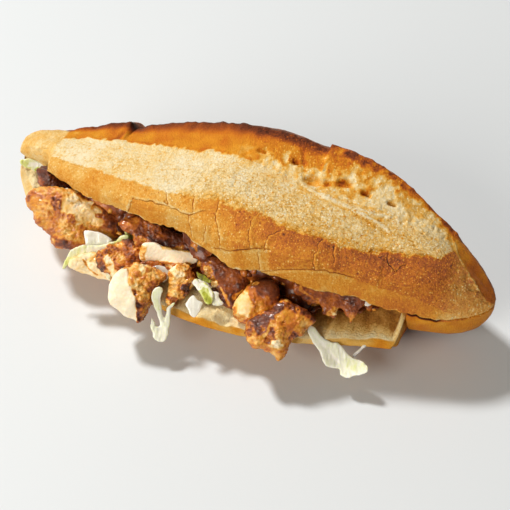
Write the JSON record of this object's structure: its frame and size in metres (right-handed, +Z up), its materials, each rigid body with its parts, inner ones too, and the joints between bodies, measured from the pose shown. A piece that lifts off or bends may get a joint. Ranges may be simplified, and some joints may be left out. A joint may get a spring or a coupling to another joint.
{
  "type": "chicken doner sandwich",
  "caption": "Long pointed bread roll, slit along one side and filled with torn grilled chicken, shredded lettuce and onion; a sandwich to pick up and eat by hand.",
  "frame": {"origin": "on the board, under the middle of the whole sandwich's bounding box", "axes": "+X along the roll towards the end where the slit closes, +Z up, -Y out of the open mouth"},
  "size_m": [0.279, 0.1212, 0.0923],
  "materials": {
    "bread": "dry baked golden crust with a pale torn crumb",
    "chicken": "glazed and browned, pale where torn",
    "lettuce": "moist pale green leaf",
    "onion": "moist translucent white"
  },
  "bodies": {
    "root": {"bread_roll": "bread", "chicken_01": "chicken", "chicken_02": "chicken", "chicken_03": "chicken", "chicken_04": "chicken", "chicken_05": "chicken", "chicken_06": "chicken", "chicken_07": "chicken", "chicken_08": "chicken", "chicken_09": "chicken", "chicken_10": "chicken", "chicken_11": "chicken", "chicken_12": "chicken", "chicken_13": "chicken", "onion_01": "onion", "onion_02": "onion", "onion_03": "onion", "lettuce_01": "lettuce", "lettuce_02": "lettuce", "lettuce_03": "lettuce", "lettuce_04": "lettuce", "lettuce_05": "lettuce", "lettuce_06": "lettuce", "lettuce_bed": "lettuce"}
  },
  "joints": []
}
